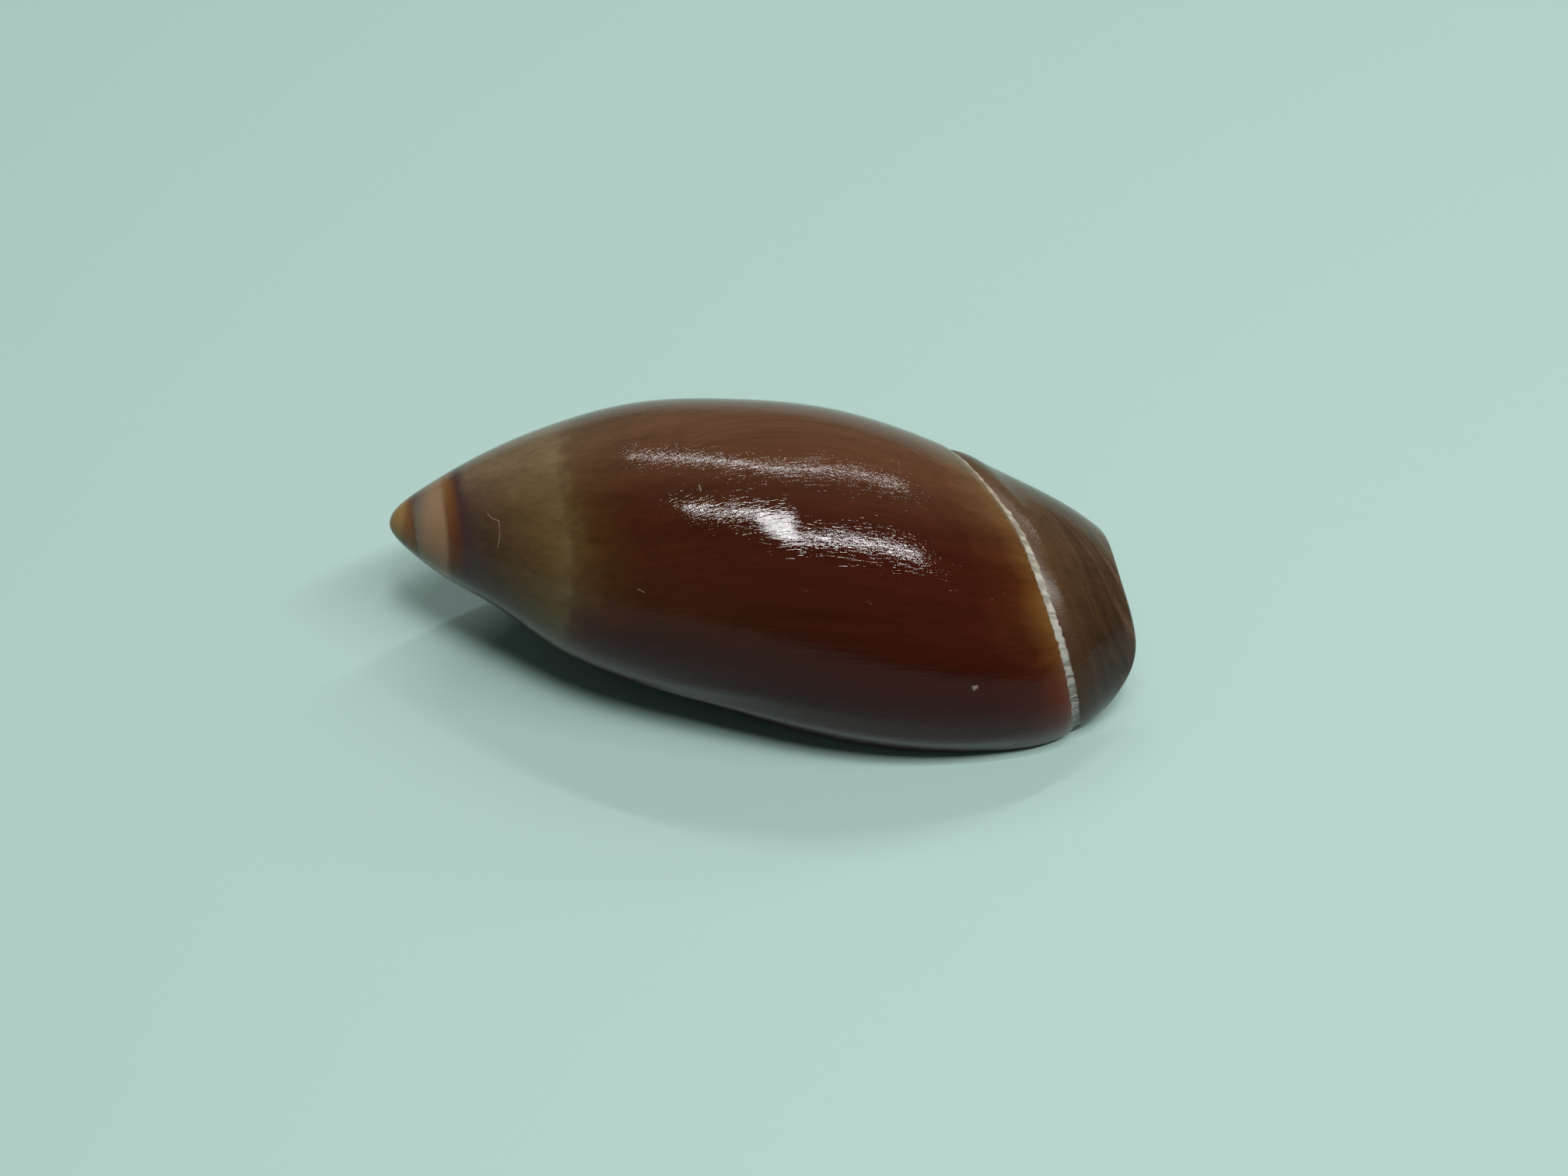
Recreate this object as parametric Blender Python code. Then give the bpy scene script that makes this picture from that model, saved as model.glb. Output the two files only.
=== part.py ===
"""Ancilla cinnamomea: the shell of a sea snail, as one closed body with an open aperture.

The shell lies the way it rests: spire towards -X, siphonal end towards +X, outer lip towards -Y and the
apex raised. A point of the outside is named by its station, the distance from the apex along the coiling
axis, and by its angle round that axis, counted in the direction of growth from straight below: 90 degrees
is the back, 180 the top and 270 the front. Angles below zero belong to the whorl before, which is the
parietal wall and the columella inside the aperture.
"""

import bpy
import numpy as np

MM = 0.001
DEG = np.pi / 180

# Coiling axis
AXIS_PITCH = 7.4 * DEG  # falls towards the siphonal end
AXIS_YAW = -0.6 * DEG  # turns a little towards the lip

# Outside radius against station
PROFILE_STATIONS = np.array([0, 0.4, 1.4, 3, 5, 8, 12, 17, 22, 27, 32, 36, 39]) * MM
PROFILE_RADII = np.array([0, 0.82, 1.68, 2.83, 4.08, 5.56, 6.90, 7.60, 7.82, 7.27, 6.19, 4.78, 2.73]) * MM

# Growth of the radius over one turn, as an exponent: none on the spire, full near the siphonal end
GROWTH = 1.01
GROWTH_START = 9 * MM
GROWTH_END = 36 * MM

# Out-of-round shares of the section, against station
LOBE_STATIONS = np.array([0, 10, 20, 30, 39]) * MM
LOBE_DOWN = np.array([-0.04, -0.11, -0.15, -0.075, 0.08])
LOBE_BACK = np.array([0.12, 0.043, 0.051, 0.088, 0.058])
LOBE_OVAL = np.array([0.043, -0.016, -0.032, -0.11, -0.10])

# Hollow on the front of the spire, above the end of the aperture
DENT_DEPTH = 0.46 * MM
DENT_STATION = 5.9 * MM
DENT_LENGTH = 2.6 * MM
DENT_ANGLE = 306 * DEG
DENT_SPREAD = 32 * DEG

# Outer lip: the angle of its edge against station
LIP_STATIONS = np.array([0, 12, 15, 20, 28, 33, 37]) * MM
LIP_ANGLES = np.array([318, 317, 309, 301, 299.4, 297, 288]) * DEG

# Siphonal margin and the groove behind the siphonal band: their stations against angle
MARGIN_ANGLES = np.array([0, 60, 110, 150, 190, 230, 270, 300]) * DEG
MARGIN_STATIONS = np.array([34.6, 35.1, 35.9, 36.5, 37.0, 37.9, 38.1, 36.7]) * MM
GROOVE_ANGLES = np.array([0, 60, 130, 160, 180, 210, 240, 270, 290]) * DEG
GROOVE_STATIONS = np.array([21.0, 24.2, 27.9, 29.6, 31.05, 32.5, 34.05, 35.4, 36.0]) * MM
GROOVE_DEPTH = 0.17 * MM
GROOVE_HALF_WIDTH = 0.34 * MM
BAND_SWELL = 0.09 * MM  # the siphonal band bulges a little past the groove

# Wall and aperture
WALL = 0.62 * MM
LIP_WALL = 0.38 * MM
MARGIN_WALL = 0.36 * MM
TIP_WALL = 1.5 * MM  # the columella's tip
TIP_ANGLE = 32 * DEG
TIP_HALF_ANGLE = 34 * DEG
TIP_ROUND = 22 * DEG  # angle over which the columella tip's end is rounded
APERTURE_START = 11.5 * MM  # station where the lip leaves the whorl before
APERTURE_RAMP = 2.2 * MM
HOLLOW_RAMP = 10 * MM  # over this length the hollow behind the lip reaches its full depth
HOLLOW_END = 100 * DEG  # angle at which the hollow is closed off
COLUMELLA_TAPER = 0.86  # share of the length at which the columella starts to thin out
FALL = 25 * DEG  # angle over which the lip sinks into the whorl before, behind the aperture

# Folds parallel to the lip
FOLD_HEIGHT = 0.07 * MM
FOLD_ANGLE = 17 * DEG
FOLD_WIDTH = 5.5 * DEG

# The worn spots it rests on
WEAR = 0.32 * MM

# Mesh counts
ROWS_SPIRE = 16
ROWS_BODY = 26
BAND_SHARES = np.array([0.010, 0.022, 0.045, 0.075, 0.105, 0.135, 0.16, 0.18])  # rows past the groove
CORE_POINTS = 15
WALL_POINTS = 24
CAP_POINTS = 3
GROOVE_SHARE = 0.82  # share of the length at which the rows follow the groove


def smooth_step(x):
    """Rises from 0 to 1 while x does, level at both ends."""
    x = np.clip(x, 0, 1)
    return x * x * (3 - 2 * x)


def spline(x, knots, values):
    """Natural cubic spline through the knots."""
    gaps = np.diff(knots)
    slopes = np.diff(values) / gaps
    count = len(knots)
    matrix = np.eye(count)
    right = np.zeros(count)
    for i in range(1, count - 1):
        matrix[i, i - 1] = gaps[i - 1]
        matrix[i, i] = 2 * (gaps[i - 1] + gaps[i])
        matrix[i, i + 1] = gaps[i]
        right[i] = 6 * (slopes[i] - slopes[i - 1])
    bend = np.linalg.solve(matrix, right)
    i = np.clip(np.searchsorted(knots, x) - 1, 0, count - 2)
    below = x - knots[i]
    above = knots[i + 1] - x
    gap = gaps[i]
    curve = (bend[i] * above**3 + bend[i + 1] * below**3) / (6 * gap)
    line = (values[i] / gap - bend[i] * gap / 6) * above
    return curve + line + (values[i + 1] / gap - bend[i + 1] * gap / 6) * below


def growth(station):
    """Exponent of the radius's growth over one turn."""
    return GROWTH * smooth_step((station - GROWTH_START) / (GROWTH_END - GROWTH_START))


def outer_radius(station, angle):
    """Radius of the shell's outside, without groove and folds."""
    root = np.sqrt(np.maximum(station, 0) / MM)
    profile = spline(root, np.sqrt(PROFILE_STATIONS / MM), PROFILE_RADII)
    turn = (angle - np.pi) / (2 * np.pi)
    lobes = spline(station, LOBE_STATIONS, LOBE_DOWN) * np.cos(angle)
    lobes += spline(station, LOBE_STATIONS, LOBE_BACK) * np.sin(angle)
    lobes += spline(station, LOBE_STATIONS, LOBE_OVAL) * np.cos(2 * angle)
    along = (station - DENT_STATION) / DENT_LENGTH
    round_axis = 2 * np.sin((angle - DENT_ANGLE) / 2) / DENT_SPREAD
    dent = DENT_DEPTH * np.exp(-along * along - round_axis * round_axis)
    return profile * np.exp(growth(station) * turn + lobes) - dent * smooth_step(station / DENT_LENGTH)


def groove_station(angle):
    """Station of the groove at an angle round the axis."""
    return spline(angle, GROOVE_ANGLES, GROOVE_STATIONS)


def relief(station, angle, lip_angle):
    """Height of the groove, the band past it and the folds near the lip over the plain outside."""
    past = (station - groove_station(angle)) / GROOVE_HALF_WIDTH
    ends = smooth_step((angle - 40 * DEG) / (60 * DEG))
    groove = -GROOVE_DEPTH * np.exp(-past * past)
    band = BAND_SWELL * smooth_step((past - 1) / 3) * smooth_step((7 - past) / 5)
    behind = (lip_angle - angle - FOLD_ANGLE) / FOLD_WIDTH
    along = smooth_step((station - 12 * MM) / (4 * MM)) * smooth_step((34 * MM - station) / (4 * MM))
    folds = FOLD_HEIGHT * np.exp(-behind * behind) * along
    folds += 0.6 * FOLD_HEIGHT * np.exp(-((behind - 2.6) ** 2)) * along
    return (groove + band) * ends + folds


def row_station(share, angle):
    """Station on the row that lies at a share of the shell's length, at an angle from 0 to the lip.

    Rows are even near the apex, follow the groove at GROOVE_SHARE and end on the siphonal margin.
    """
    end = spline(angle, MARGIN_ANGLES, MARGIN_STATIONS)
    groove = groove_station(angle)
    bend = groove - GROOVE_SHARE * end
    body = share * end + bend * smooth_step((share - 0.36) / (GROOVE_SHARE - 0.36))
    band = groove + (end - groove) * (share - GROOVE_SHARE) / (1 - GROOVE_SHARE)
    return np.where(share < GROOVE_SHARE, body, band)


def sections():
    """Station, angle and radius of every point of the rows, and the share by which the rows are blended
    into the thin siphonal margin."""
    before = np.linspace(0, 0.30, ROWS_SPIRE + 1)[1:] ** 1.45 / 0.30**0.45
    body = np.linspace(0.30, GROOVE_SHARE, ROWS_BODY + 1)[1:]
    share = np.concatenate([before, body, GROOVE_SHARE + BAND_SHARES])[:, None]
    middle = share * MARGIN_STATIONS[5]
    lip = np.full_like(share, LIP_ANGLES[3])
    for _ in range(4):
        lip = spline(row_station(share, lip), LIP_STATIONS, LIP_ANGLES)
    opening = smooth_step((middle - APERTURE_START) / APERTURE_RAMP)
    depth = smooth_step((middle - APERTURE_START) / HOLLOW_RAMP + 0.08)
    cap = lip + (HOLLOW_END - lip) * depth
    zero = row_station(share, np.zeros_like(share))

    # Outside, from straight below round the back and the top to the lip
    core = np.linspace(0, 1, CORE_POINTS + 1)[None, :-1] * HOLLOW_END
    wall = HOLLOW_END + np.linspace(0, 1, WALL_POINTS + 1)[None, :] * (lip - HOLLOW_END)
    angle = np.concatenate([np.repeat(core, len(share), 0), wall], axis=1)
    station = row_station(share, angle)
    radius = outer_radius(station, angle) + relief(station, angle, lip)
    outside = np.stack([station, angle, radius], axis=-1)

    # The lip's rounded edge
    lip_station = row_station(share, lip)
    lip_radius = outer_radius(lip_station, lip)
    step = lip_radius * (1 - np.exp(-growth(lip_station)))
    edge = np.minimum(LIP_WALL, 0.45 * step)
    crest_angle = lip + opening * 0.5 * edge / lip_radius + (1 - opening) * 3 * DEG
    edge_relief = relief(lip_station, lip, lip)
    crest_radius = outer_radius(lip_station, crest_angle) + edge_relief - opening * 0.5 * edge
    crest = np.stack([lip_station, crest_angle, crest_radius], axis=-1)

    # Inside of the wall, from the lip back into the hollow
    along = np.linspace(0, 1, WALL_POINTS + 1)[None, :]
    inner_angle = lip + (cap - lip) * along
    inner_station = row_station(share, inner_angle)
    inner_full = outer_radius(inner_station, inner_angle)
    gap = inner_full * (1 - np.exp(-growth(inner_station)))
    thick = LIP_WALL + (WALL - LIP_WALL) * smooth_step((lip - inner_angle) / (18 * DEG))
    inner_radius = inner_full - np.minimum(thick, 0.45 * gap)
    inner_radius += relief(inner_station, inner_angle, lip) * smooth_step(1 - (lip - inner_angle) / (20 * DEG))
    inner = np.stack([inner_station, inner_angle, inner_radius], axis=-1)

    # Parietal wall and columella, from the end of the hollow round to straight below
    count = CORE_POINTS - CAP_POINTS
    along = np.linspace(0, 1, count + 1)[None, :-1]
    cap_station = row_station(share, cap)
    wall_station = cap_station + (zero - cap_station) * along
    wall_angle = (cap - 2 * np.pi) * (1 - along)
    pillar = np.stack([wall_station, wall_angle, outer_radius(wall_station, wall_angle)], axis=-1)
    pillar[..., 1] += 2 * np.pi

    # Closed end of the hollow
    across = (np.arange(1, CAP_POINTS) / CAP_POINTS)[None, :]
    start = inner[:, -1:, :]
    end = pillar[:, :1, :]
    bridge = start + (end - start) * across[..., None]
    bridge[..., 1] -= 6 * DEG * np.sin(np.pi * across) * depth
    bridge = np.concatenate([bridge, pillar[:, :1, :]], axis=1)
    hollow = np.concatenate([inner, bridge, pillar[:, 1:, :]], axis=1)

    # Before the aperture the same points lie on the skin, where the lip sinks into the whorl before
    along = np.linspace(0, 1, hollow.shape[1] + 1)[None, :-1]
    skin_angle = lip + 6 * DEG + (2 * np.pi - lip - 6 * DEG) * along
    skin_station = lip_station + (zero - lip_station) * (skin_angle - lip) / (2 * np.pi - lip)
    sunk = smooth_step((skin_angle - lip) / FALL)
    drop = np.exp(-growth(skin_station) * sunk)
    skin = np.stack([skin_station, skin_angle, outer_radius(skin_station, skin_angle) * drop], axis=-1)
    hollow = skin + (hollow - skin) * opening[..., None]
    return share, outside, crest, hollow


def to_space(points):
    """Station, angle and radius to X, Y and Z."""
    pitch = np.cos(AXIS_PITCH)
    axis = np.array([pitch * np.cos(AXIS_YAW), pitch * np.sin(AXIS_YAW), -np.sin(AXIS_PITCH)])
    down = np.array([0, 0, -1.0]) - axis * -axis[2]
    down /= np.linalg.norm(down)
    back = np.cross(axis, down)
    back *= np.sign(back[1])
    station, angle, radius = (points[..., i, None] for i in range(3))
    return station * axis + radius * (np.cos(angle) * down + np.sin(angle) * back)


def build_points():
    """Rows of points round the shell, and the strip of points that rounds off the siphonal margin."""
    share, outside, crest, hollow = sections()
    sheet = outside[:, ::-1].copy()
    tip = (sheet[..., 1] - TIP_ANGLE) / TIP_HALF_ANGLE
    rounded = np.sqrt(1 - (1 - np.clip(sheet[..., 1] / TIP_ROUND, 0, 1)) ** 2)
    thick = (MARGIN_WALL + (TIP_WALL - MARGIN_WALL) * np.exp(-tip * tip)) * rounded
    sheet[..., 2] -= thick
    blend = smooth_step((share - COLUMELLA_TAPER) / (1 - COLUMELLA_TAPER))[..., None]
    inside = to_space(hollow)
    sheet = to_space(sheet)[:, : inside.shape[1]]
    inside = inside + (sheet - inside) * blend
    rows = np.concatenate([to_space(outside), to_space(crest), inside], axis=1)

    last = rows[-1]
    half = outside.shape[1] - 1
    facing = last[1 : half + 1]
    opposite = last[::-1][: half]
    middle = (facing + opposite) / 2
    reach = np.linalg.norm(facing - opposite, axis=1, keepdims=True) / 2
    ahead = last[1 : half + 1] - rows[-2, 1 : half + 1]
    ahead /= np.linalg.norm(ahead, axis=1, keepdims=True)
    return rows, middle + reach * ahead


def build_mesh():
    """Closes the rows into one body: a fan at the apex, a rounded strip at the siphonal margin."""
    rows, rim = build_points()
    height, around = rows.shape[:2]
    apex = np.zeros((1, 3))
    points = np.concatenate([rows.reshape(-1, 3), apex, rim])
    index = np.arange(height * around).reshape(height, around)
    follow = np.roll(index, -1, axis=1)
    quads = np.stack([index[:-1], follow[:-1], follow[1:], index[1:]], axis=-1).reshape(-1, 4)
    faces = [tuple(quad) for quad in quads.tolist()]
    top = height * around
    faces += [(top, int(follow[0, i]), int(index[0, i])) for i in range(around)]

    last = index[-1]
    half = len(rim)
    strip = top + 1 + np.arange(half)
    for i in range(half - 1):
        faces.append((last[i + 1], last[i + 2], strip[i + 1], strip[i]))
        faces.append((strip[i], strip[i + 1], last[around - 2 - i], last[around - 1 - i]))
    faces.append((last[0], strip[0], last[around - 1]))
    faces.append((last[0], last[1], strip[0]))
    faces.append((last[half], last[half + 1], strip[-1]))
    faces.append((strip[-1], last[half + 1], last[around - half]))
    return points, [tuple(int(corner) for corner in face) for face in faces]


def settle(points):
    """Stands the shell on the plane Z = 0 with flat worn spots, centred on X and Y."""
    points = points - [0, 0, points[:, 2].min() + WEAR]
    points[:, 2] = np.maximum(points[:, 2], 0)
    middle = (points.min(axis=0) + points.max(axis=0)) / 2
    return points - [middle[0], middle[1], 0]


def make_material():
    """Glossy cinnamon-brown shell."""
    material = bpy.data.materials.new("shell")
    material.use_nodes = True
    surface = material.node_tree.nodes["Principled BSDF"]
    surface.inputs["Base Color"].default_value = (0.14, 0.045, 0.022, 1)
    surface.inputs["Roughness"].default_value = 0.12
    material.diffuse_color = (0.14, 0.045, 0.022, 1)
    return material


def main():
    for thing in list(bpy.data.objects):
        bpy.data.objects.remove(thing, do_unlink=True)
    points, faces = build_mesh()
    mesh = bpy.data.meshes.new("shell")
    mesh.from_pydata(settle(points).tolist(), [], faces)
    mesh.update()
    mesh.materials.append(make_material())
    for polygon in mesh.polygons:
        polygon.use_smooth = True
    shell = bpy.data.objects.new("shell", mesh)
    bpy.context.scene.collection.objects.link(shell)


main()
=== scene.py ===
# %% [markdown]
# # A sea snail's shell, from formula to photograph
# The shell is one piece of porcelain-smooth lime. Its shape follows three habits of the animal: it winds
# round an axis, it grows by the same share each turn, and it glazes over what it has already built. So
# every point has a natural address: its station, the distance from the apex along the axis, and its angle
# round the axis, counted as the shell grows. This lesson builds the surface from those two numbers, keeps
# them on the mesh, and lets the colours and the gloss read them.

import bpy
import numpy as np
from mathutils import Matrix, Vector


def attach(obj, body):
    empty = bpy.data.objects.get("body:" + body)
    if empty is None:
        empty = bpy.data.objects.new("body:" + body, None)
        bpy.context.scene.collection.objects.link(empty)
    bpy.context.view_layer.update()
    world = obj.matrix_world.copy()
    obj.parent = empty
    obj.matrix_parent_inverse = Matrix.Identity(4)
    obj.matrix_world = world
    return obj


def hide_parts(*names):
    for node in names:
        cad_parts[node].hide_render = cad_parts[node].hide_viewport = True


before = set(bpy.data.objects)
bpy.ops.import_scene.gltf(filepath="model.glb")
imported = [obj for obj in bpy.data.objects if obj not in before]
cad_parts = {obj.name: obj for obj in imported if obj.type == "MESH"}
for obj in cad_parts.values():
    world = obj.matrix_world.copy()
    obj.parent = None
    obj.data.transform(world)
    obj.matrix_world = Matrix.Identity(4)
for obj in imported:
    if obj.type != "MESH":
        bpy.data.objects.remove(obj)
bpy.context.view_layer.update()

# %% [markdown]
# ## The real sizes
# The numbers are those of the plain solid, in metres and radians, so that the dressed shell fits it. Angle
# 0 is straight below, 90 degrees the back, 180 the top and 270 the front. Some things change along the
# shell, such as its radius, and are given at a few stations. Others change round it, such as the groove.

# %% Sizes of the shell
MM = 0.001
DEG = np.pi / 180
TURN = 2 * np.pi

APEX = np.array([-0.019087, 0.000745, 0.007726])
AXIS_PITCH = 7.4 * DEG
AXIS_YAW = -0.6 * DEG

PROFILE_STATIONS = np.array([0, 0.4, 1.4, 3, 5, 8, 12, 17, 22, 27, 32, 36, 39]) * MM
PROFILE_RADII = np.array([0, 0.82, 1.68, 2.83, 4.08, 5.56, 6.90, 7.60, 7.82, 7.27, 6.19, 4.78, 2.73]) * MM

GROWTH = 1.01
GROWTH_START = 9 * MM
GROWTH_END = 36 * MM

LOBE_STATIONS = np.array([0, 10, 20, 30, 39]) * MM
LOBE_DOWN = np.array([-0.04, -0.11, -0.15, -0.075, 0.08])
LOBE_BACK = np.array([0.12, 0.043, 0.051, 0.088, 0.058])
LOBE_OVAL = np.array([0.043, -0.016, -0.032, -0.11, -0.10])

DENT_DEPTH = 0.46 * MM
DENT_STATION = 5.9 * MM
DENT_LENGTH = 2.6 * MM
DENT_ANGLE = 306 * DEG
DENT_SPREAD = 32 * DEG

LIP_STATIONS = np.array([0, 12, 15, 20, 28, 33, 37]) * MM
LIP_ANGLES = np.array([318, 317, 309, 301, 299.4, 297, 288]) * DEG

MARGIN_ANGLES = np.array([0, 60, 110, 150, 190, 230, 270, 300]) * DEG
MARGIN_STATIONS = np.array([34.6, 35.1, 35.9, 36.5, 37.0, 37.9, 38.1, 36.7]) * MM
GROOVE_ANGLES = np.array([0, 60, 130, 160, 180, 210, 240, 270, 290]) * DEG
GROOVE_STATIONS = np.array([21.0, 24.2, 27.9, 29.6, 31.05, 32.5, 34.05, 35.4, 36.0]) * MM
GROOVE_DEPTH = 0.17 * MM
GROOVE_HALF_WIDTH = 0.34 * MM
BAND_SWELL = 0.09 * MM
FADE_ANGLE = 40 * DEG
FADE_SPREAD = 60 * DEG

WALL = 0.62 * MM
LIP_WALL = 0.38 * MM
MARGIN_WALL = 0.36 * MM
WALL_RAMP = 18 * DEG
RELIEF_INSIDE = 20 * DEG
MOST_OF_GAP = 0.45
TIP_WALL = 1.5 * MM
TIP_ANGLE = 32 * DEG
TIP_HALF_ANGLE = 34 * DEG
TIP_ROUND = 22 * DEG
APERTURE_START = 11.5 * MM
APERTURE_RAMP = 2.2 * MM
HOLLOW_RAMP = 10 * MM
HOLLOW_END = 100 * DEG
COLUMELLA_TAPER = 0.86
FALL = 25 * DEG

FOLD_HEIGHT = 0.07 * MM
FOLD_ANGLE = 17 * DEG
FOLD_WIDTH = 5.5 * DEG
FOLD_START = 12 * MM
FOLD_END = 34 * MM
FOLD_RAMP = 4 * MM
SECOND_FOLD_HEIGHT = 0.6
SECOND_FOLD_PLACE = 2.6

GROOVE_SHARE = 0.82
SPIRE_SHARE = 0.30
BEND_SHARE = 0.36
SKIN_STEP = 6 * DEG

# %% [markdown]
# ## Curves from a few numbers
# A smooth step eases one state into the next. A natural cubic spline draws the one smooth curve through a
# few knots that bends least, which is how a shell's outline looks.

# %% Two helpers
def smooth_step(x):
    """Three x squared less two x cubed: 0 to 1, level at both ends."""
    x = np.clip(x, 0, 1)
    return x * x * (3 - 2 * x)


def spline(x, knots, values):
    """Natural cubic spline: in each gap a cubic, whose bends at the knots solve one small linear system."""
    gaps = np.diff(knots)
    slopes = np.diff(values) / gaps
    count = len(knots)
    matrix = np.eye(count)
    right = np.zeros(count)
    for i in range(1, count - 1):
        matrix[i, i - 1 : i + 2] = gaps[i - 1], 2 * (gaps[i - 1] + gaps[i]), gaps[i]
        right[i] = 6 * (slopes[i] - slopes[i - 1])
    bend = np.linalg.solve(matrix, right)
    i = np.clip(np.searchsorted(knots, x) - 1, 0, count - 2)
    below = x - knots[i]
    above = knots[i + 1] - x
    gap = gaps[i]
    curve = (bend[i] * above**3 + bend[i + 1] * below**3) / (6 * gap)
    curve += (values[i] / gap - bend[i] * gap / 6) * above
    return curve + (values[i + 1] / gap - bend[i + 1] * gap / 6) * below


print("half way up a smooth step:", smooth_step(0.5))

# %% [markdown]
# ## The radius at every address
# A snail's whorl is a logarithmic spiral: a turn further on, the radius is larger by the same factor. The
# spire is glazed over, so there the spiral hardly shows and the growth is near nothing. Towards the
# siphonal end it is full, and that step between two turns is what opens the aperture. Low waves round the
# section make it a little out of round, as the real one is.

# %% Radius of the outside
def growth(station):
    """Exponent of the radius's growth over one turn, eased in along the shell."""
    return GROWTH * smooth_step((station - GROWTH_START) / (GROWTH_END - GROWTH_START))


def outer_radius(station, angle):
    """Profile times e to the power of (growth times turns, plus three low waves), less the hollow of the
    spire."""
    root = np.sqrt(np.maximum(station, 0) / MM)
    profile = spline(root, np.sqrt(PROFILE_STATIONS / MM), PROFILE_RADII)
    lobes = spline(station, LOBE_STATIONS, LOBE_DOWN) * np.cos(angle)
    lobes += spline(station, LOBE_STATIONS, LOBE_BACK) * np.sin(angle)
    lobes += spline(station, LOBE_STATIONS, LOBE_OVAL) * np.cos(2 * angle)
    along = (station - DENT_STATION) / DENT_LENGTH
    round_axis = 2 * np.sin((angle - DENT_ANGLE) / 2) / DENT_SPREAD
    dent = DENT_DEPTH * np.exp(-along * along - round_axis * round_axis) * smooth_step(station / DENT_LENGTH)
    return profile * np.exp(growth(station) * (angle - np.pi) / TURN + lobes) - dent


def groove_station(angle):
    """Where the groove behind the siphonal band lies at an angle."""
    return spline(angle, GROOVE_ANGLES, GROOVE_STATIONS)


def relief(station, angle, lip_angle):
    """A bell-shaped groove, a soft swelling past it and two folds parallel to the lip, as heights."""
    past = (station - groove_station(angle)) / GROOVE_HALF_WIDTH
    ends = smooth_step((angle - FADE_ANGLE) / FADE_SPREAD)
    groove = -GROOVE_DEPTH * np.exp(-past * past)
    band = BAND_SWELL * smooth_step((past - 1) / 3) * smooth_step((7 - past) / 5)
    behind = (lip_angle - angle - FOLD_ANGLE) / FOLD_WIDTH
    along = smooth_step((station - FOLD_START) / FOLD_RAMP) * smooth_step((FOLD_END - station) / FOLD_RAMP)
    second = SECOND_FOLD_HEIGHT * np.exp(-((behind - SECOND_FOLD_PLACE) ** 2))
    folds = FOLD_HEIGHT * (np.exp(-behind * behind) + second) * along
    return (groove + band) * ends + folds


def row_station(share, angle):
    """Station at a share of the length: straight up to BEND_SHARE, along the groove at GROOVE_SHARE, then
    straight on to the siphonal margin."""
    end = spline(angle, MARGIN_ANGLES, MARGIN_STATIONS)
    groove = groove_station(angle)
    bend = smooth_step((share - BEND_SHARE) / (GROOVE_SHARE - BEND_SHARE))
    body = share * end + (groove - GROOVE_SHARE * end) * bend
    band = groove + (end - groove) * (share - GROOVE_SHARE) / (1 - GROOVE_SHARE)
    return np.where(share < GROOVE_SHARE, body, band)


print("radius on top at mid-length:", round(float(outer_radius(np.array(20 * MM), np.pi)) / MM, 2), "mm")

# %% [markdown]
# ## Rows and columns
# The whole shell is one grid. A row follows the shell round at a share of its length: over the outside to
# the lip, round the lip's edge, back along the inside of the wall to the end of the hollow, and over the
# columella to where it began. The rows crowd together at the apex and at the groove, where the shape and
# the colours change fastest.

# %% The grid's two directions
SPIRE_ROWS, BODY_ROWS, BAND_ROWS = 66, 176, 64
CORE, WALL_COLUMNS, EDGE, CAP = 60, 92, 7, 6
HALF = CORE + WALL_COLUMNS


def row_shares():
    """Shares of the length: a power law on the spire, even on the body, even again past the groove, and then
    pulled towards the groove by a bell-shaped weight."""
    spire = np.linspace(0.02, 1, SPIRE_ROWS) ** 1.45 * SPIRE_SHARE
    body = np.linspace(SPIRE_SHARE, GROOVE_SHARE, BODY_ROWS)[1:]
    band = GROOVE_SHARE + np.linspace(0, 1 - GROOVE_SHARE, BAND_ROWS)[1:]
    share = np.concatenate([spire, body, band])
    away = share - GROOVE_SHARE
    return (share - 0.55 * away * np.exp(-((away / 0.02) ** 2)))[:, None]


share = row_shares()
print(len(share), "rows of", 2 * HALF + EDGE + 1, "columns")

# %% [markdown]
# ## The surfaces of one row
# The lip stands at its own angle, and the inside of its wall is the outside less the wall's thickness. The
# parietal wall and the columella are the turn before, so they are the same formula at angles below zero.
# Before the aperture begins there is no hollow: the columns that would line it lie on the skin instead and
# ease into the hollow as it opens.

# %% Addresses of all columns
def lip_of(share):
    """Angle of the lip on each row. The lip's own station depends on that angle, so it is found by
    repetition."""
    lip = np.full_like(share, 300 * DEG)
    for _ in range(5):
        lip = spline(row_station(share, lip), LIP_STATIONS, LIP_ANGLES)
    return lip


def outside_columns(lip):
    """Station, angle and radius from straight below to the lip."""
    core = np.linspace(0, 1, CORE + 1)[None, :-1] * HOLLOW_END
    wall = HOLLOW_END + np.linspace(0, 1, WALL_COLUMNS + 1)[None, :] * (lip - HOLLOW_END)
    angle = np.concatenate([np.repeat(core, len(share), 0), wall], axis=1)
    station = row_station(share, angle)
    return np.stack([station, angle, outer_radius(station, angle) + relief(station, angle, lip)], axis=-1)


def edge_columns(lip, opening):
    """Half a circle over the thickness of the lip, which flattens onto the skin where there is no
    aperture."""
    station = row_station(share, lip)
    radius = outer_radius(station, lip)
    thick = np.minimum(LIP_WALL, MOST_OF_GAP * radius * (1 - np.exp(-growth(station))))
    arc = (np.arange(1, EDGE + 1) / (EDGE + 1))[None, :] * np.pi
    flattened = (1 - opening) * SKIN_STEP * arc / np.pi
    angle = lip + opening * 0.5 * thick * np.sin(arc) / radius + flattened
    height = outer_radius(station, angle) + relief(station, lip, lip)
    height = height - opening * 0.5 * thick * (1 - np.cos(arc))
    return np.stack([np.repeat(station, EDGE, 1), angle, height], axis=-1)


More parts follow.
